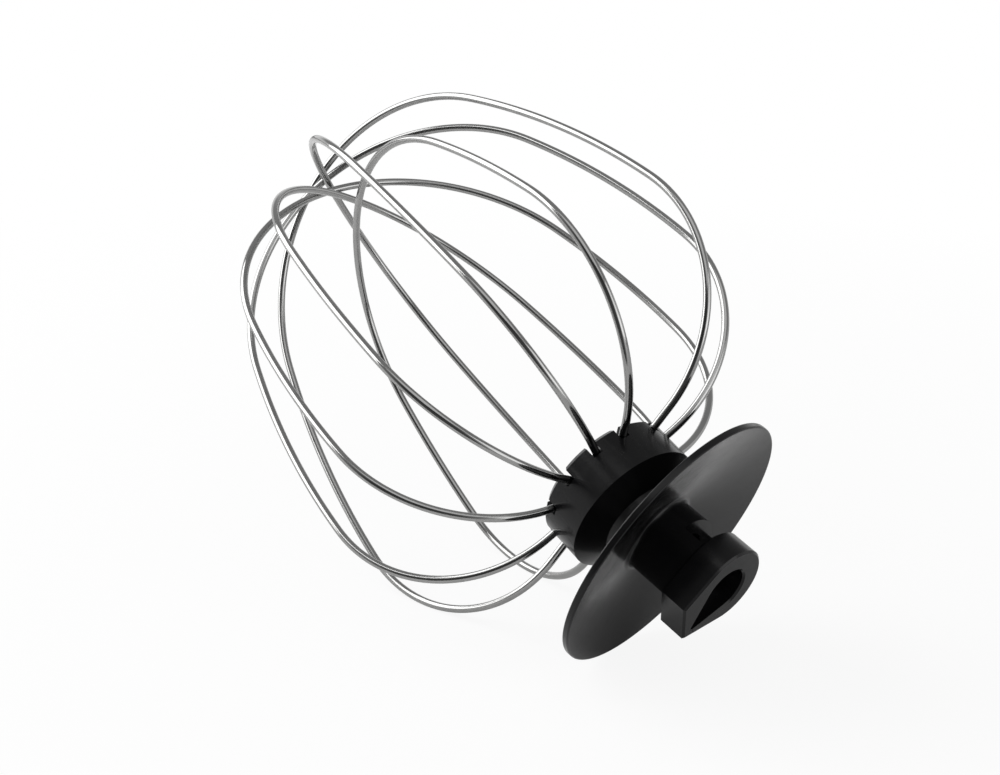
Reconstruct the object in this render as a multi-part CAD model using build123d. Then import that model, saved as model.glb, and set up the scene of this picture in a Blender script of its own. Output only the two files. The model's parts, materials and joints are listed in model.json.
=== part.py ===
from build123d import *
import os
from math import atan2, cos, degrees, hypot, radians, sin, sqrt, tan

# Whisk attachment for a stand mixer: a wire cage held in a slotted plastic hub, with a
# splash disc and a drive sleeve moulded on the hub. It is modelled along the disc's axis,
# with Z = 0 in the plane of the disc's rim and the cage towards +Z. The disc sits askew: the
# drive sleeve leans one way from its axis, and the drum and the cage lean another way. Each
# group is modelled upright before it is leaned over. The part is laid down at the end on its
# disc rim and two neighbouring wires. All sizes are in millimetres and degrees.

# Wire cage, sizes of the wire's centre line
wire_diameter = 2.0
loop_count = 6
first_loop_azimuth = -50.0
loop_turns = (1.5, 1.0, 1.0, -3.0, 1.5, -3.0)
belly_radius = 57.6
belly_step = 1.0
belly_order = (-3, -3, -3, 2, 6, 1)
bend_radius = 38.6
side_radius = 205.0
crown_radius = 51.0
crown_centre_level = 86.0
crown_step = 2.4
crown_order = (5, 4, 6, 0, 8, 7)
wire_end_radius = 7.0

# Lean of the hub's drum and the cage from the disc's axis
hub_lean = 9.5
lean_azimuth = 144.0
lean_level = 8.0

# Lean of the drive sleeve and its head from the disc's axis, about the sleeve's root
sleeve_lean = 8.5
sleeve_lean_azimuth = 180.0

# Slotted hub
wire_level = 22.9
hub_radius = 18.2
hub_lip_height = 2.2
hub_lip_bevel = 1.2
drum_depth = 8.3
underside_slope = 60.0
neck_radius = 11.5
slot_side_clearance = 0.25
wire_seat_clearance = 0.1

# Cap that closes the slots over the wire ends
cap_radius = 12.4
cap_rim_round = 0.8
cap_clearance = 0.15
cap_dimple_radius = 5.0
cap_dimple_depth = 0.8
cap_peg_radius = 3.2
cap_peg_length = 5.0

# Splash disc
disc_radius = 35.7
disc_thickness = 1.8
disc_dish = 5.0
disc_rim_round = 0.4

# Drive sleeve and the key head at its mouth
sleeve_radius = 10.0
sleeve_length = 15.0
sleeve_root_round = 1.0
head_length = 8.0
head_radius = 10.5
head_offset = 1.1
head_edge_bevel = 0.5
lug_reach = 15.0
lug_tip_drop = 0.4
lug_shoulder_reach = 9.6

# Socket for the drive spindle
bore_radius = 6.0
bore_depth = 23.5
nose_reach = 12.0
nose_tip_radius = 1.2
mouth_bevel = 0.5
window_length = 6.6
window_azimuth = 80.0
window_half_angle = 50.0

# Sizes that follow from the ones above
wire_radius = wire_diameter / 2
bend_centre_level = wire_level + bend_radius
loop_pitch = 180.0 / loop_count
hub_top = wire_level + wire_radius + hub_lip_height
seat_level = wire_level - wire_radius - wire_seat_clearance
drum_bottom = wire_level - wire_radius - drum_depth
slot_width = wire_diameter + 2 * slot_side_clearance
recess_radius = cap_radius + cap_clearance
cap_bottom = wire_level + wire_radius + wire_seat_clearance
peg_bottom = seat_level - cap_peg_length
disc_top = disc_dish + disc_thickness
head_rear = disc_dish - sleeve_length
head_front = head_rear - head_length
window_front = head_rear


def leaned(level, azimuth, angle):
    """Place that leans what is modelled upright towards an azimuth, about a level on the axis."""
    return Pos(0, 0, level) * Rot(Z=azimuth) * Rot(Y=angle) * Rot(Z=-azimuth) * Pos(0, 0, -level)


# The leaning hub's own frame, with its axes in the disc's frame, and the leaning sleeve's place
lean = leaned(lean_level, lean_azimuth, hub_lean)
hub_frame = Plane(lean)
drive = leaned(disc_dish, sleeve_lean_azimuth, sleeve_lean)


def ring_of_revolution(points):
    """Turn a closed outline of (radius, level) points once round the Z axis."""
    outline = Plane.XZ * make_face(Polyline(*points, close=True))
    return revolve(outline, Axis.Z)


def loop_azimuth(index):
    """Azimuth of a loop's first half round the hub: an even share and its own small turn."""
    return first_loop_azimuth + index * loop_pitch + loop_turns[index]


def bend_centre_radius(index):
    """Distance of a loop's bend centres from the hub's axis."""
    return belly_radius + belly_step * belly_order[index] - bend_radius


def side_centre(across, crown_level):
    """Centre of the long side arc that runs inside along the bend circle and the crown circle."""
    rise = crown_level - bend_centre_level
    span = hypot(across, rise)
    to_bend = side_radius - bend_radius
    to_crown = side_radius - crown_radius
    along = (span**2 + to_bend**2 - to_crown**2) / (2 * span)
    aside = sqrt(to_bend**2 - along**2)
    x = across - along * across / span - aside * rise / span
    level = bend_centre_level + along * rise / span - aside * across / span
    return x, level


def wire_loop(index):
    """One bent wire: two ends in the hub, two round bends, two long sides and a crown."""
    across = bend_centre_radius(index)
    crown_level = crown_centre_level + crown_step * crown_order[index]
    x, level = side_centre(across, crown_level)
    lower = degrees(atan2(bend_centre_level - level, across - x))
    upper = degrees(atan2(crown_level - level, -x))
    crown = CenterArc((0, crown_level), crown_radius, upper, 180 - 2 * upper)
    right_side = CenterArc((x, level), side_radius, lower, upper - lower)
    left_side = CenterArc((-x, level), side_radius, 180 - upper, upper - lower)
    right_bend = CenterArc((across, bend_centre_level), bend_radius, -90, 90 + lower)
    left_bend = CenterArc((-across, bend_centre_level), bend_radius, 180 - lower, 90 + lower)
    path = Wire(
        [
            Line((wire_end_radius, wire_level), right_bend @ 0),
            right_bend,
            right_side,
            crown,
            left_side,
            left_bend,
            Line(left_bend @ 1, (-wire_end_radius, wire_level)),
        ]
    )
    path = Plane.XZ * path
    section = Plane(path @ 0, z_dir=path % 0) * Circle(wire_radius)
    return Rot(Z=loop_azimuth(index)) * sweep(section, path)


def dished_disc():
    """Disc with its flat middle and the straight part of the neck, turned as one profile."""
    plate = ring_of_revolution(
        [
            (0, disc_dish),
            (neck_radius, disc_dish),
            (disc_radius, 0),
            (disc_radius, disc_thickness),
            (neck_radius, disc_top),
            (neck_radius, lean_level),
            (0, lean_level),
        ]
    )
    rim = [edge for edge in plate.edges().filter_by(GeomType.CIRCLE) if abs(edge.radius - disc_radius) < 1e-6]
    return fillet(rim, disc_rim_round)


def sleeve():
    """Plain sleeve, from the head into the neck."""
    return Pos(0, 0, head_rear) * extrude(Circle(sleeve_radius), lean_level - head_rear)


def drum():
    """Upper part of the neck with the slotted drum's sloping underside, wall and bevelled lip."""
    slope_height = (hub_radius - neck_radius) / tan(radians(underside_slope))
    return ring_of_revolution(
        [
            (0, lean_level),
            (neck_radius, lean_level),
            (neck_radius, drum_bottom - slope_height),
            (hub_radius, drum_bottom),
            (hub_radius, hub_top - hub_lip_bevel),
            (hub_radius - hub_lip_bevel, hub_top),
            (0, hub_top),
        ]
    )


def drum_cuts():
    """Recess for the cap, hole for its peg and the wire slots, as cuts in the upright drum."""
    recess = Pos(0, 0, seat_level) * extrude(Circle(recess_radius), hub_top - seat_level)
    hole_bottom = peg_bottom - cap_clearance
    peg_hole = Pos(0, 0, hole_bottom) * extrude(Circle(cap_peg_radius + cap_clearance), seat_level - hole_bottom)
    return [recess, peg_hole] + wire_slots()


def key_head():
    """Teardrop head at the mouth: a round collar, a flat side and a lug with a flat face."""
    collar = Pos(head_offset, 0) * Circle(head_radius)
    lug_face = Line((-lug_shoulder_reach, -head_radius), (-lug_reach, -lug_tip_drop))
    outline = make_hull(collar.edges() + lug_face.edges())
    head = extrude(Plane.XY.offset(head_front) * outline, head_length)
    ends = head.faces().filter_by(Axis.Z)
    return chamfer(ends.edges(), head_edge_bevel)


def mouth_outline(margin):
    """Teardrop of the socket's mouth, grown by a margin: the bore joined to the nose's tip."""
    bore = Circle(bore_radius + margin)
    nose_tip = Pos(nose_tip_radius - nose_reach, 0) * Circle(nose_tip_radius + margin)
    return make_hull(bore.edges() + nose_tip.edges())


def socket_cuts():
    """Spindle bore, tapered nose through the head and bevelled mouth, as three cuts."""
    bore = Pos(0, 0, head_front) * extrude(Circle(bore_radius), bore_depth)
    key = Pos(0, 0, head_front) * extrude(mouth_outline(0), head_length)
    flare = loft([Pos(0, 0, head_front) * mouth_outline(mouth_bevel),
                  Pos(0, 0, head_front + mouth_bevel) * mouth_outline(0)])
    return [bore, key, flare]


def latch_window():
    """Sector cut through the sleeve wall behind the collar."""
    reach = 2 * sleeve_radius
    half = radians(window_half_angle)
    sector = make_face(
        Polyline(
            (0, 0),
            (reach * cos(half), -reach * sin(half)),
            (reach / cos(half), 0),
            (reach * cos(half), reach * sin(half)),
            close=True,
        )
    )
    turned = Rot(Z=window_azimuth) * sector
    return extrude(Plane.XY.offset(window_front) * turned, window_length)


def wire_slots():
    """Slots through the drum's wall, open at the top, one bar for each loop's two ends."""
    bar = Box(
        2 * hub_radius + slot_width,
        slot_width,
        hub_top - seat_level,
        align=(Align.CENTER, Align.CENTER, Align.MIN),
    )
    return [Pos(0, 0, seat_level) * Rot(Z=loop_azimuth(index)) * bar for index in range(loop_count)]


def drive_hub():
    """The moulding: leaning slotted drum, neck, splash disc, sleeve and key head in one piece."""
    base = dished_disc() + drive * sleeve()
    base = fillet(base.edges().filter_by(GeomType.ELLIPSE), sleeve_root_round)
    elbow = Pos(0, 0, lean_level) * Sphere(neck_radius)
    elbow -= Pos(0, 0, disc_dish) * Cylinder(
        2 * neck_radius, 2 * neck_radius, align=(Align.CENTER, Align.CENTER, Align.MAX)
    )
    body = base + elbow + lean * drum() + drive * Rot(Z=90) * key_head()
    for cut in socket_cuts():
        body -= drive * Rot(Z=90) * cut
    for cut in drum_cuts():
        body -= lean * cut
    return body - drive * latch_window()


def hub_cap():
    """Round cap with a peg, pressed into the hub over the wire ends."""
    plate = Pos(0, 0, cap_bottom) * extrude(Circle(cap_radius), hub_top - cap_bottom)
    plate = fillet(plate.edges().sort_by(Axis.Z)[-1], cap_rim_round)
    plate -= Pos(0, 0, hub_top - cap_dimple_depth) * extrude(Circle(cap_dimple_radius), cap_dimple_depth)
    peg = Pos(0, 0, peg_bottom) * extrude(Circle(cap_peg_radius), cap_bottom - peg_bottom)
    return plate + peg


def disc_drop(down):
    """How far the disc's rounded rim reaches in a downward direction from the origin."""
    return (disc_radius - disc_rim_round) * hypot(down.X, down.Y) + disc_rim_round * (1 + down.Z)


def wire_drop(down, index):
    """How far the bend in a loop's second half reaches in a downward direction."""
    azimuth = radians(loop_azimuth(index) + 180)
    outward = hub_frame.x_dir * cos(azimuth) + hub_frame.y_dir * sin(azimuth)
    centre = hub_frame.origin + outward * bend_centre_radius(index) + hub_frame.z_dir * bend_centre_level
    reach = hypot(down.dot(outward), down.dot(hub_frame.z_dir))
    return centre.dot(down) + bend_radius * reach + wire_radius


def downward(azimuth, rise):
    """Direction of the floor when an azimuth faces it and the disc's axis rises to the cage."""
    return Vector(
        cos(radians(rise)) * cos(radians(azimuth)),
        cos(radians(rise)) * sin(radians(azimuth)),
        -sin(radians(rise)),
    )


def bisect(low, high, too_low):
    """Halve a range until it closes on the place where the test turns false."""
    for _ in range(40):
        middle = (low + high) / 2
        if too_low(middle):
            low = middle
        else:
            high = middle
    return (low + high) / 2


def resting_rise(azimuth):
    """Rise of the disc's axis when the disc rim and the lower of the two wires touch the floor."""
    def wires_below(rise):
        down = downward(azimuth, rise)
        return max(wire_drop(down, index) for index in resting_loops) > disc_drop(down)

    return bisect(0.0, 60.0, wires_below)


def resting_azimuth():
    """Azimuth that faces the floor when both wires touch it."""
    def first_lower(azimuth):
        down = downward(azimuth, resting_rise(azimuth))
        return wire_drop(down, resting_loops[0]) > wire_drop(down, resting_loops[1])

    first, second = [loop_azimuth(index) + 180 for index in resting_loops]
    return bisect(first, second, first_lower)


# The part rests on its disc rim and on the far halves of the fourth and fifth loops
resting_loops = (3, 4)
floor_azimuth = resting_azimuth()
floor_rise = resting_rise(floor_azimuth)
laid_down = Rot(Y=90 - floor_rise) * Rot(Z=-floor_azimuth)

pieces = {"drive_hub": laid_down * drive_hub(), "hub_cap": laid_down * lean * hub_cap()}
for number in range(loop_count):
    pieces[f"wire_loop_{number + 1}"] = laid_down * lean * wire_loop(number)

# The origin is on the floor, under the middle of the whole part
box = Compound(list(pieces.values())).bounding_box()
to_origin = Pos(-box.center().X, -box.center().Y, -box.min.Z)

os.makedirs("parts", exist_ok=True)
for name, piece in pieces.items():
    piece = to_origin * piece
    export_step(piece, f"parts/{name}.step")
    low, high = piece.bounding_box().min, piece.bounding_box().max
    print(f"{name}: {piece.volume / 1000:.2f} cm3, x {low.X:.1f}..{high.X:.1f}, "
          f"y {low.Y:.1f}..{high.Y:.1f}, z {low.Z:.1f}..{high.Z:.1f}")
print(f"drive axis rise {floor_rise:.4f} deg, floor azimuth {floor_azimuth:.4f} deg, "
      f"origin shift {to_origin.position}")
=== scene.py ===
"""Looks of the whisk attachment: satin black moulding, bright drawn wire and a white studio."""

import json
import logging
import math
from dataclasses import dataclass, field
from enum import Enum

import bpy
from mathutils import Matrix, Vector


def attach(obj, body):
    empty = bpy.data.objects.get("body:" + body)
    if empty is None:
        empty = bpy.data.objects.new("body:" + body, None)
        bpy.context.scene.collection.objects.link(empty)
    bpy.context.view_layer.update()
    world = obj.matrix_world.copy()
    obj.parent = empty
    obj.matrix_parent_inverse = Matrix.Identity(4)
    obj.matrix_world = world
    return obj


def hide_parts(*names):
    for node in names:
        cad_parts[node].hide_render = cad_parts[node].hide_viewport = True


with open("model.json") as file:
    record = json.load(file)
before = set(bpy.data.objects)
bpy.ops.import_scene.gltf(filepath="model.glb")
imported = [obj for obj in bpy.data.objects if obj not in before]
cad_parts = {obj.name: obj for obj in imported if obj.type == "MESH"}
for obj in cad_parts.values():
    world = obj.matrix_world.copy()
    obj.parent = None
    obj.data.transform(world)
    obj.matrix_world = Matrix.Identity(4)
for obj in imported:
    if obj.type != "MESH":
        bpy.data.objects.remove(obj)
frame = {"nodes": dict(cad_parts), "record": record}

LOG = logging.getLogger("whisk")
MM = 0.001
WHITE = (1.0, 1.0, 1.0, 1.0)

Pair = tuple[float, float]
Triple = tuple[float, float, float]


class Slot(Enum):
    """Material slots of the record."""

    BLACK_PLASTIC = "black_plastic"
    BRIGHT_WIRE = "bright_wire"


class NodeSheet:
    """A material's or world's node tree, with short calls to add and join nodes."""

    def __init__(self, owner: bpy.types.ID) -> None:
        """Start with an empty tree.

        Args:
            owner: The material or world that holds the tree.
        """
        owner.use_nodes = True
        self.tree = owner.node_tree
        self.tree.nodes.clear()

    def add(self, kind: str, **settings: object) -> bpy.types.Node:
        """Add one node.

        Args:
            kind: The node's type name.
            settings: Properties to set on the node.

        Returns:
            The new node.
        """
        node = self.tree.nodes.new(kind)
        for name, value in settings.items():
            setattr(node, name, value)
        return node

    def join(self, source: bpy.types.NodeSocket, target: bpy.types.NodeSocket) -> None:
        """Link an output to an input."""
        self.tree.links.new(source, target)

    def put(self, node: bpy.types.Node, **values: object) -> bpy.types.Node:
        """Set plain values on a node's inputs, named with underscores for spaces.

        Args:
            node: The node whose inputs are set.
            values: Input names and their values.

        Returns:
            The same node.
        """
        for name, value in values.items():
            node.inputs[name.replace("_", " ")].default_value = value
        return node

    def noise(
        self, place: bpy.types.NodeSocket, scale: float, detail: float, roughness: float
    ) -> bpy.types.Node:
        """Add a noise texture on a coordinate.

        Args:
            place: The coordinate output that it reads.
            scale: Noise cells in one unit of the coordinate.
            detail: Octaves of the noise.
            roughness: Share of each finer octave.

        Returns:
            The noise node.
        """
        node = self.add("ShaderNodeTexNoise")
        self.put(node, Scale=scale, Detail=detail, Roughness=roughness)
        self.join(place, node.inputs["Vector"])
        return node

    def spread(
        self, source: bpy.types.NodeSocket, start: float, end: float, low: float, high: float
    ) -> bpy.types.Node:
        """Map a value's range to another, held at both ends.

        Args:
            source: The value to map.
            start: Value that gives the low result.
            end: Value that gives the high result.
            low: Result at the start.
            high: Result at the end.

        Returns:
            The mapping node.
        """
        node = self.add("ShaderNodeMapRange")
        self.put(node, From_Min=start, From_Max=end, To_Min=low, To_Max=high)
        self.join(source, node.inputs["Value"])
        return node

    def tint(self, factor: bpy.types.NodeSocket, low: Triple, high: Triple) -> bpy.types.Node:
        """Blend between two colours by a factor.

        Args:
            factor: The blending factor.
            low: Colour at 0.
            high: Colour at 1.

        Returns:
            The ramp node.
        """
        node = self.add("ShaderNodeValToRGB")
        node.color_ramp.elements[0].color = (*low, 1.0)
        node.color_ramp.elements[1].color = (*high, 1.0)
        self.join(factor, node.inputs["Fac"])
        return node

    def combine(
        self, first: bpy.types.NodeSocket, second: bpy.types.NodeSocket, operation: str = "ADD"
    ) -> bpy.types.Node:
        """Combine two values by a math operation.

        Args:
            first: The first value.
            second: The second value.
            operation: The math node's operation.

        Returns:
            The math node.
        """
        node = self.add("ShaderNodeMath", operation=operation)
        self.join(first, node.inputs[0])
        self.join(second, node.inputs[1])
        return node


@dataclass(frozen=True)
class MouldedPlastic:
    """Satin black moulding: slow tone drift, a fine moulded grain and light handling scuffs."""

    name: str
    dark: Triple = (0.0030, 0.0030, 0.0033)
    pale: Triple = (0.0065, 0.0065, 0.0070)
    drift_scale: float = 55.0
    refractive_index: float = 1.31
    smooth: float = 0.13
    rough: float = 0.23
    haze_scale: float = 130.0
    haze_band: Pair = (0.30, 0.70)
    scuff_colour: Triple = (0.040, 0.040, 0.042)
    stroke_turn: Triple = (0.5, 0.3, 0.9)
    stroke_stretch: Triple = (1.0, 9.0, 2.5)
    stroke_scale: float = 240.0
    stroke_band: Pair = (0.64, 0.76)
    patch_scale: float = 75.0
    patch_band: Pair = (0.52, 0.70)
    scuff_share: float = 0.55
    scuff_dulling: float = 0.25
    grain_scale: float = 2600.0
    grain_height: float = 0.000006
    ripple_scale: float = 160.0
    ripple_height: float = 0.000030

    def material(self) -> bpy.types.Material:
        """Build the node material.

        Returns:
            The finished material.
        """
        made = bpy.data.materials.new(self.name)
        sheet = NodeSheet(made)
        place = sheet.add("ShaderNodeTexCoord").outputs["Object"]
        shader = sheet.put(sheet.add("ShaderNodeBsdfPrincipled"), IOR=self.refractive_index)
        out = sheet.add("ShaderNodeOutputMaterial")
        sheet.join(shader.outputs["BSDF"], out.inputs["Surface"])

        drift = sheet.noise(place, self.drift_scale, detail=4.0, roughness=0.55)
        tone = sheet.tint(drift.outputs["Fac"], self.dark, self.pale)
        along = sheet.add("ShaderNodeMapping")
        sheet.put(along, Rotation=self.stroke_turn, Scale=self.stroke_stretch)
        sheet.join(place, along.inputs["Vector"])
        strokes = sheet.noise(along.outputs["Vector"], self.stroke_scale, detail=7.0, roughness=0.72)
        patches = sheet.noise(place, self.patch_scale, detail=3.0, roughness=0.5)
        stroke_mask = sheet.spread(strokes.outputs["Fac"], *self.stroke_band, 0.0, 1.0)
        patch_mask = sheet.spread(patches.outputs["Fac"], *self.patch_band, 0.0, self.scuff_share)
        scuffs = sheet.combine(stroke_mask.outputs["Result"], patch_mask.outputs["Result"], "MULTIPLY")
        blend = sheet.add("ShaderNodeMix", data_type="RGBA")
        sheet.join(scuffs.outputs["Value"], blend.inputs["Factor"])
        sheet.join(tone.outputs["Color"], blend.inputs["A"])
        blend.inputs["B"].default_value = (*self.scuff_colour, 1.0)
        sheet.join(blend.outputs["Result"], shader.inputs["Base Color"])

        haze = sheet.noise(place, self.haze_scale, detail=5.0, roughness=0.6)
        gloss = sheet.spread(haze.outputs["Fac"], *self.haze_band, self.smooth, self.rough)
        dull = sheet.spread(scuffs.outputs["Value"], 0.0, 1.0, 0.0, self.scuff_dulling)
        rough = sheet.combine(gloss.outputs["Result"], dull.outputs["Result"])
        sheet.join(rough.outputs["Value"], shader.inputs["Roughness"])

        grain = sheet.noise(place, self.grain_scale, detail=2.0, roughness=0.5)
        ripple = sheet.noise(place, self.ripple_scale, detail=2.0, roughness=0.5)
        waved = sheet.put(sheet.add("ShaderNodeBump"), Strength=1.0, Distance=self.ripple_height)
        sheet.join(ripple.outputs["Fac"], waved.inputs["Height"])
        grained = sheet.put(sheet.add("ShaderNodeBump"), Strength=1.0, Distance=self.grain_height)
        sheet.join(grain.outputs["Fac"], grained.inputs["Height"])
        sheet.join(waved.outputs["Normal"], grained.inputs["Normal"])
        sheet.join(grained.outputs["Normal"], shader.inputs["Normal"])
        return made


@dataclass(frozen=True)
class DrawnWire:
    """Bright drawn stainless wire: fine lines along its length and slow dull patches."""

    name: str
    dark: Triple = (0.28, 0.28, 0.277)
    pale: Triple = (0.40, 0.40, 0.395)
    polished: float = 0.08
    dull: float = 0.15
    patch_scale: float = 90.0
    patch_band: Pair = (0.35, 0.70)
    line_scale: float = 2600.0
    line_stretch: float = 0.012
    line_band: Pair = (0.35, 0.65)
    line_dulling: Pair = (-0.015, 0.02)
    line_height: float = 0.0000012

    def material(self) -> bpy.types.Material:
        """Build the node material, which reads the wire's unbent coordinates.

        Returns:
            The finished material.
        """
        made = bpy.data.materials.new(self.name)
        sheet = NodeSheet(made)
        place = sheet.add("ShaderNodeAttribute", attribute_name=BentWire.UNBENT).outputs["Vector"]
        shader = sheet.put(sheet.add("ShaderNodeBsdfPrincipled"), Metallic=1.0)
        out = sheet.add("ShaderNodeOutputMaterial")
        sheet.join(shader.outputs["BSDF"], out.inputs["Surface"])

        stretched = sheet.put(sheet.add("ShaderNodeMapping"), Scale=(1.0, 1.0, self.line_stretch))
        sheet.join(place, stretched.inputs["Vector"])
        lines = sheet.noise(stretched.outputs["Vector"], self.line_scale, detail=3.0, roughness=0.5)
        patches = sheet.noise(place, self.patch_scale, detail=4.0, roughness=0.6)
        tone = sheet.tint(patches.outputs["Fac"], self.dark, self.pale)
        sheet.join(tone.outputs["Color"], shader.inputs["Base Color"])

        worn = sheet.spread(patches.outputs["Fac"], *self.patch_band, self.polished, self.dull)
        drawn = sheet.spread(lines.outputs["Fac"], *self.line_band, *self.line_dulling)
        rough = sheet.combine(worn.outputs["Result"], drawn.outputs["Result"])
        sheet.join(rough.outputs["Value"], shader.inputs["Roughness"])

        bump = sheet.put(sheet.add("ShaderNodeBump"), Strength=1.0, Distance=self.line_height)
        sheet.join(lines.outputs["Fac"], bump.inputs["Height"])
        sheet.join(bump.outputs["Normal"], shader.inputs["Normal"])
        return made


@dataclass(frozen=True)
class Lay:
    """Where the part lies: the socket's place from the record, and the leans between its groups."""

    floor_rise: float = 25.1744
    floor_azimuth: float = 232.2904
    socket_level: float = 1.9 * MM
    sleeve_lean: float = 8.5
    sleeve_azimuth: float = 180.0
    sleeve_level: float = 5.0 * MM
    hub_lean: float = 9.5
    hub_azimuth: float = 144.0
    hub_level: float = 8.0 * MM

    @staticmethod
    def leaned(level: float, azimuth: float, angle: float) -> Matrix:
        """Matrix that leans what is modelled upright about a level on the disc's axis.

        Args:
            level: The level that stays in place.
            azimuth: The way that it leans, in degrees.
            angle: The lean in degrees.

        Returns:
            The 4x4 matrix.
        """
        way = Matrix.Rotation(math.radians(azimuth), 4, "Z")
        lift = Matrix.Translation((0.0, 0.0, level))
        lean = Matrix.Rotation(math.radians(angle), 4, "Y")
        return lift @ way @ lean @ way.inverted() @ lift.inverted()

    def disc(self) -> Matrix:
        """Matrix from the disc's frame, with its rim at zero, to the row's frame.

        Returns:
            The 4x4 matrix.
        """
        tip = Matrix.Rotation(math.radians(90.0 - self.floor_rise), 4, "Y")
        turned = tip @ Matrix.Rotation(math.radians(-self.floor_azimuth), 4, "Z")
        drive = self.leaned(self.sleeve_level, self.sleeve_azimuth, self.sleeve_lean)
        socket = turned @ (drive @ Vector((0.0, 0.0, self.socket_level)))
        return Matrix.Translation(Vector(frame["record"]["mounts"][0]["pos_m"]) - socket) @ turned

    def hub(self) -> Matrix:
        """Matrix from the upright hub's frame to the row's frame, with the hub's lean."""
        return self.disc() @ self.leaned(self.hub_level, self.hub_azimuth, self.hub_lean)


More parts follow.
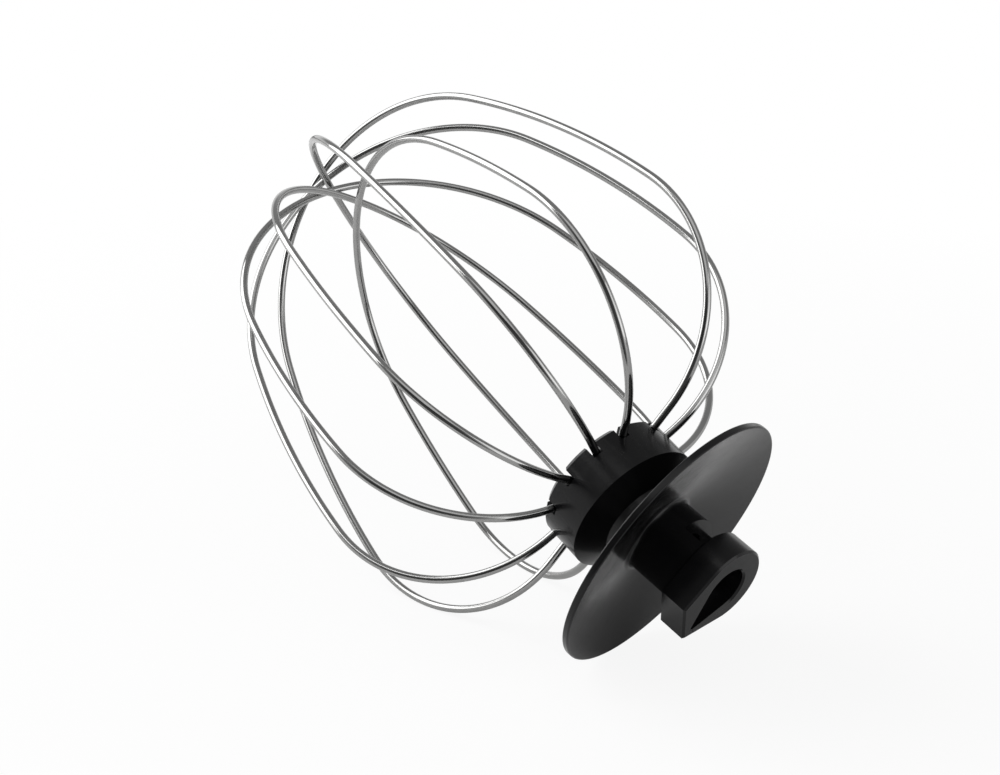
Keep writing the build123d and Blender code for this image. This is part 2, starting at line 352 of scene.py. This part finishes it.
@dataclass
class BentWire:
    """One wire loop, bent round its plane from an end ring by a run of spins."""

    name: str
    azimuth: float
    belly: float
    crown_level: float
    diameter: float = 2.0 * MM
    end_radius: float = 7.0 * MM
    level: float = 22.9 * MM
    bend_radius: float = 38.6 * MM
    side_radius: float = 205.0 * MM
    crown_radius: float = 51.0 * MM
    ring_sides: int = 24
    ring_spacing: float = 1.6 * MM
    fewest_steps: int = 2
    crease_angle: float = 40.0

    UNBENT = "unbent"

    def bend_centre(self) -> Vector:
        """Centre of the bend at the wire's first end, as (across, level) in the wire's plane."""
        return Vector((self.belly - self.bend_radius, self.level + self.bend_radius))

    def side_centre(self) -> Vector:
        """Centre of the long side arc on the wire's first half, in the wire's plane.

        Returns:
            The centre as (across, level).
        """
        bend = self.bend_centre()
        crown = Vector((0.0, self.crown_level))
        span = (crown - bend).length
        to_bend = self.side_radius - self.bend_radius
        to_crown = self.side_radius - self.crown_radius
        along = (span**2 + to_bend**2 - to_crown**2) / (2 * span)
        aside = math.sqrt(to_bend**2 - along**2)
        way = (crown - bend) / span
        return bend + way * along + Vector((-way.y, way.x)) * aside

    def arcs(self) -> list[tuple[float, float, float, float]]:
        """The five arcs from one end to the other, each with its centre, radius and angle.

        Returns:
            A list of (centre across, centre level, radius, angle) in the wire's plane.
        """
        side = self.side_centre()
        bend = self.bend_centre()
        lower = math.atan2(bend.y - side.y, bend.x - side.x)
        upper = math.atan2(self.crown_level - side.y, -side.x)
        return [
            (bend.x, bend.y, self.bend_radius, math.pi / 2 + lower),
            (side.x, side.y, self.side_radius, upper - lower),
            (0.0, self.crown_level, self.crown_radius, math.pi - 2 * upper),
            (-side.x, side.y, self.side_radius, upper - lower),
            (-bend.x, bend.y, self.bend_radius, math.pi / 2 + lower),
        ]

    def build(self, hub: Matrix) -> bpy.types.Object:
        """Bend the wire in place.

        Args:
            hub: Matrix from the upright hub's frame to the row's frame.

        Returns:
            The wire as a mesh object.
        """
        plane = hub @ Matrix.Rotation(math.radians(self.azimuth), 4, "Z")
        outward = plane.to_3x3() @ Vector((1.0, 0.0, 0.0))
        across = plane.to_3x3() @ Vector((0.0, 1.0, 0.0))
        start = plane @ Vector((self.end_radius, 0.0, self.level))
        bpy.ops.object.select_all(action="DESELECT")
        bpy.ops.mesh.primitive_circle_add(
            vertices=self.ring_sides,
            radius=self.diameter / 2,
            fill_type="NGON",
            location=start,
            rotation=outward.to_track_quat("Z", "Y").to_euler(),
        )
        wire = bpy.context.object
        wire.name = self.name
        wire.data.name = self.name
        bpy.ops.object.transform_apply(location=True, rotation=True, scale=True)
        bpy.ops.object.mode_set(mode="EDIT")
        bpy.ops.mesh.select_mode(type="VERT")
        bpy.ops.mesh.select_all(action="SELECT")
        run = self.belly - self.bend_radius - self.end_radius
        lengths = [0.0]
        self.push(outward * run, run, lengths)
        for centre_across, centre_level, radius, angle in self.arcs():
            centre = plane @ Vector((centre_across, 0.0, centre_level))
            self.spin(centre, across, radius, angle, lengths)
        self.push(outward * run, run, lengths)
        bpy.ops.mesh.select_all(action="SELECT")
        bpy.ops.mesh.normals_make_consistent(inside=False)
        bpy.ops.object.mode_set(mode="OBJECT")
        bpy.ops.object.shade_smooth_by_angle(angle=math.radians(self.crease_angle))
        self.mark_unbent(wire, lengths, plane)
        return wire

    @staticmethod
    def push(step: Vector, run: float, lengths: list[float]) -> None:
        """Extrude the end ring straight on.

        Args:
            step: The way that the ring moves.
            run: Its length.
            lengths: Distances along the wire of the rings so far, to which the new one is added.
        """
        bpy.ops.mesh.extrude_region_move(TRANSFORM_OT_translate={"value": step})
        lengths.append(lengths[-1] + run)

    def spin(
        self, centre: Vector, axis: Vector, radius: float, angle: float, lengths: list[float]
    ) -> None:
        """Bend the wire on from its end ring round a centre.

        Args:
            centre: The arc's centre.
            axis: The arc's axis.
            radius: The arc's radius.
            angle: The arc's angle.
            lengths: Distances along the wire of the rings so far, to which the new ones are added.
        """
        steps = max(self.fewest_steps, math.ceil(radius * angle / self.ring_spacing))
        bpy.ops.mesh.spin(steps=steps, angle=angle, center=centre, axis=axis)
        begin = lengths[-1]
        lengths.extend(begin + radius * angle * (step + 1) / steps for step in range(steps))

    def mark_unbent(self, wire: bpy.types.Object, lengths: list[float], plane: Matrix) -> None:
        """Write where each vertex lay in the straight wire, so that drawn lines follow the bends.

        Args:
            wire: The bent wire.
            lengths: Distance along the wire of each ring.
            plane: Matrix of the wire's own plane.
        """
        across = (plane.to_3x3() @ Vector((0.0, 1.0, 0.0))).normalized()
        points = [vertex.co.copy() for vertex in wire.data.vertices]
        marks = wire.data.attributes.new(self.UNBENT, "FLOAT_VECTOR", "POINT")
        for number, length in enumerate(lengths):
            ring = points[number * self.ring_sides : (number + 1) * self.ring_sides]
            centre = sum(ring, Vector()) / len(ring)
            for place, point in enumerate(ring):
                off = point - centre
                side = off.dot(across)
                rest = math.sqrt(max(off.length_squared - side * side, 0.0))
                outer = off.dot(plane.to_translation() - centre) < 0
                mark = marks.data[number * self.ring_sides + place]
                mark.vector = (side, rest if outer else -rest, length)


@dataclass
class WireCage:
    """Six wire loops round the leaning hub, each with its own turn, swell and crown height."""

    finish: DrawnWire
    pitch: float = 30.0
    first_azimuth: float = -50.0
    turns: tuple[float, ...] = (1.5, 1.0, 1.0, -3.0, 1.5, -3.0)
    belly_radius: float = 57.6 * MM
    belly_step: float = 1.0 * MM
    belly_order: tuple[int, ...] = (-3, -3, -3, 2, 6, 1)
    crown_centre_level: float = 86.0 * MM
    crown_step: float = 2.4 * MM
    crown_order: tuple[int, ...] = (5, 4, 6, 0, 8, 7)
    pieces: list[bpy.types.Object] = field(default_factory=list)

    def build(self, lay: Lay) -> None:
        """Bend the loops and set each in the place of its CAD node.

        Args:
            lay: Where the part lies.
        """
        hub = lay.hub()
        for index, turn in enumerate(self.turns):
            node = f"wire_loop_{index + 1}"
            wire = BentWire(
                name=f"bright_{node}",
                azimuth=self.first_azimuth + index * self.pitch + turn,
                belly=self.belly_radius + self.belly_step * self.belly_order[index],
                crown_level=self.crown_centre_level + self.crown_step * self.crown_order[index],
            )
            piece = wire.build(hub)
            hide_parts(node)
            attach(piece, "root")
            self.pieces.append(piece)
            LOG.info("%s: %d faces", piece.name, len(piece.data.polygons))

    def dress(self) -> None:
        """Give every loop the drawn wire finish."""
        steel = self.finish.material()
        for piece in self.pieces:
            piece.data.materials.clear()
            piece.data.materials.append(steel)


@dataclass
class DriveHub:
    """The moulding and its cap, kept as the CAD has them and given their finishes."""

    moulding: MouldedPlastic
    cap: MouldedPlastic
    moulding_node: str = "drive_hub"
    cap_node: str = "hub_cap"

    def dress(self) -> None:
        """Put each finish on its node."""
        for name, finish in ((self.moulding_node, self.moulding), (self.cap_node, self.cap)):
            node = frame["nodes"][name]
            plastic = finish.material()
            for place in node.material_slots:
                place.link = "OBJECT"
                place.material = plastic
            LOG.info("%s: %s in slot %s", name, finish.name, Slot.BLACK_PLASTIC.value)


@dataclass(frozen=True)
class Lamp:
    """One soft rectangular lamp, aimed at the part."""

    name: str
    place: Triple
    size: Pair
    watts: float
    aim: Triple = (0.0, 0.0, 0.06)

    def hang(self) -> None:
        """Add the lamp to the scene."""
        data = bpy.data.lights.new(self.name, "AREA")
        data.shape = "RECTANGLE"
        data.size, data.size_y = self.size
        data.energy = self.watts
        lamp = bpy.data.objects.new(self.name, data)
        way = Vector(self.aim) - Vector(self.place)
        turned = way.to_track_quat("-Z", "Y").to_matrix().to_4x4()
        lamp.matrix_world = Matrix.Translation(self.place) @ turned
        lamp.visible_camera = False
        bpy.context.scene.collection.objects.link(lamp)


@dataclass
class Studio:
    """White floor and surroundings, soft lamps and the camera at the photograph's angle."""

    floor_reach: float = 6.0
    front_edge: float = 0.17
    floor_colour: Triple = (0.92, 0.92, 0.92)
    floor_glow: float = 0.90
    mirrored_glow: float = 0.10
    glow_near: float = 0.10
    glow_far: float = 0.45
    sky_level: float = 0.25
    upper_level: float = 0.42
    white_below: float = 0.18
    grey_above: float = 0.36
    dark_way: Triple = (-0.29, 0.957, 0.0)
    dark_from: float = 0.50
    dark_to: float = 0.85
    dark_share: float = 0.10
    camera_place: Triple = (-0.27871, 0.34052, 0.21097)
    heading: float = -50.766
    elevation: float = 19.506
    roll: float = -0.469
    focal_pixels: float = 1800.0
    image_width: float = 1000.0
    sensor_width: float = 36.0
    clip_near: float = 0.01
    lamps: tuple[Lamp, ...] = (
        Lamp("main_softbox", (0.76, 0.36, 0.60), (1.00, 1.05), 11.0),
        Lamp("top_softbox", (-0.38, 0.28, 0.95), (0.90, 0.80), 1.6),
        Lamp("fill_card", (-0.95, -0.05, 0.37), (0.75, 0.65), 2.0),
    )

    @staticmethod
    def seen(sheet: NodeSheet) -> bpy.types.NodeSocket:
        """Add the test for rays that show the background: camera, glossy and transmission rays.

        Args:
            sheet: The node tree that gets the test.

        Returns:
            The output that is 1 for such rays.
        """
        path = sheet.add("ShaderNodeLightPath")
        both = sheet.combine(path.outputs["Is Camera Ray"], path.outputs["Is Glossy Ray"], "MAXIMUM")
        every = sheet.combine(both.outputs["Value"], path.outputs["Is Transmission Ray"], "MAXIMUM")
        return every.outputs["Value"]

    def lit(self, sheet: NodeSheet, direction: bpy.types.NodeSocket) -> bpy.types.NodeSocket:
        """Add the fall of light towards the unlit side of the room.

        Args:
            sheet: The node tree that gets it.
            direction: The direction that is looked in.

        Returns:
            The output that is 1 where the room is lit.
        """
        way = sheet.add("ShaderNodeVectorMath", operation="NORMALIZE")
        sheet.join(direction, way.inputs[0])
        facing = sheet.add("ShaderNodeVectorMath", operation="DOT_PRODUCT")
        sheet.join(way.outputs["Vector"], facing.inputs[0])
        facing.inputs[1].default_value = self.dark_way
        fall = sheet.spread(facing.outputs["Value"], self.dark_from, self.dark_to, 1.0, self.dark_share)
        return fall.outputs["Result"]

    def lay_floor(self) -> None:
        """Make the floor: a large white sheet with a soft shadow, its front edge below the picture."""
        front = Vector(self.dark_way)
        bpy.ops.object.select_all(action="DESELECT")
        bpy.ops.mesh.primitive_plane_add(
            size=2 * self.floor_reach,
            location=front * (self.front_edge - self.floor_reach),
            rotation=(0.0, 0.0, math.atan2(front.y, front.x)),
        )
        bpy.ops.object.transform_apply(location=True, rotation=True, scale=True)
        floor = bpy.context.object
        floor.name = "floor"
        made = bpy.data.materials.new("white_floor")
        sheet = NodeSheet(made)
        plain = sheet.put(sheet.add("ShaderNodeBsdfDiffuse"), Color=(*self.floor_colour, 1.0))
        glow = sheet.put(sheet.add("ShaderNodeEmission"), Color=WHITE, Strength=1.0)
        place = sheet.add("ShaderNodeTexCoord").outputs["Object"]
        away = sheet.add("ShaderNodeVectorMath", operation="LENGTH")
        sheet.join(place, away.inputs[0])
        ground = sheet.spread(away.outputs["Value"], self.glow_near, self.glow_far, self.floor_glow, 1.0)
        path = sheet.add("ShaderNodeLightPath")
        straight = sheet.combine(path.outputs["Is Camera Ray"], ground.outputs["Result"], "MULTIPLY")
        mirrored = sheet.spread(self.seen(sheet), 0.0, 1.0, 0.0, self.mirrored_glow)
        share = sheet.combine(straight.outputs["Value"], mirrored.outputs["Result"], "MAXIMUM")
        mix = sheet.add("ShaderNodeMixShader")
        out = sheet.add("ShaderNodeOutputMaterial")
        sheet.join(share.outputs["Value"], mix.inputs["Fac"])
        sheet.join(plain.outputs["BSDF"], mix.inputs[1])
        sheet.join(glow.outputs["Emission"], mix.inputs[2])
        sheet.join(mix.outputs["Shader"], out.inputs["Surface"])
        floor.data.materials.append(made)

    def paint_surroundings(self) -> None:
        """Show the camera white and reflections a room with an unlit side, and add plain light."""
        world = bpy.data.worlds.new("studio")
        bpy.context.scene.world = world
        sheet = NodeSheet(world)
        direction = sheet.add("ShaderNodeTexCoord").outputs["Generated"]
        split = sheet.add("ShaderNodeSeparateXYZ")
        sheet.join(direction, split.inputs["Vector"])
        rise = split.outputs["Z"]
        level = sheet.spread(rise, self.white_below, self.grey_above, 1.0, self.upper_level)
        room = sheet.combine(level.outputs["Result"], self.lit(sheet, direction), "MULTIPLY")
        camera_ray = sheet.add("ShaderNodeLightPath").outputs["Is Camera Ray"]
        shade = sheet.combine(camera_ray, room.outputs["Value"], "MAXIMUM")
        shown = sheet.put(sheet.add("ShaderNodeBackground"), Color=WHITE)
        sheet.join(shade.outputs["Value"], shown.inputs["Strength"])
        light = sheet.put(sheet.add("ShaderNodeBackground"), Color=WHITE, Strength=self.sky_level)
        mix = sheet.add("ShaderNodeMixShader")
        out = sheet.add("ShaderNodeOutputWorld")
        sheet.join(self.seen(sheet), mix.inputs["Fac"])
        sheet.join(light.outputs["Background"], mix.inputs[1])
        sheet.join(shown.outputs["Background"], mix.inputs[2])
        sheet.join(mix.outputs["Shader"], out.inputs["Surface"])

    def set_camera(self) -> None:
        """Place the camera by its heading, elevation and roll."""
        heading = math.radians(self.heading)
        elevation = math.radians(self.elevation)
        roll = math.radians(self.roll)
        flat = Vector((math.cos(heading), math.sin(heading), 0.0))
        forward = flat * math.cos(elevation) - Vector((0.0, 0.0, math.sin(elevation)))
        level_up = flat * math.sin(elevation) + Vector((0.0, 0.0, math.cos(elevation)))
        level_right = forward.cross(level_up)
        up = level_up * math.cos(roll) + level_right * math.sin(roll)
        right = forward.cross(up)
        data = bpy.data.cameras.new("camera")
        data.sensor_fit = "HORIZONTAL"
        data.sensor_width = self.sensor_width
        data.lens = self.sensor_width * self.focal_pixels / self.image_width
        data.clip_start = self.clip_near
        camera = bpy.data.objects.new("camera", data)
        turned = Matrix((right, up, -forward)).transposed().to_4x4()
        camera.matrix_world = Matrix.Translation(self.camera_place) @ turned
        bpy.context.scene.collection.objects.link(camera)
        bpy.context.scene.camera = camera

    def set_up(self) -> None:
        """Build the whole studio."""
        self.lay_floor()
        self.paint_surroundings()
        for lamp in self.lamps:
            lamp.hang()
        self.set_camera()
        bpy.context.scene.view_settings.view_transform = "Standard"
        LOG.info("studio: %d lamps", len(self.lamps))


def main() -> None:
    """Build and dress the part, then the studio."""
    logging.basicConfig(level=logging.INFO, format="%(name)s: %(message)s")
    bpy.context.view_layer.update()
    lay = Lay()
    moulding = MouldedPlastic("satin_black_moulding")
    cap = MouldedPlastic("satin_black_cap", smooth=0.18, rough=0.30)
    hub = DriveHub(moulding, cap)
    hub.dress()
    cage = WireCage(DrawnWire("bright_drawn_wire"))
    cage.build(lay)
    cage.dress()
    Studio().set_up()


if __name__ == "__main__":
    main()
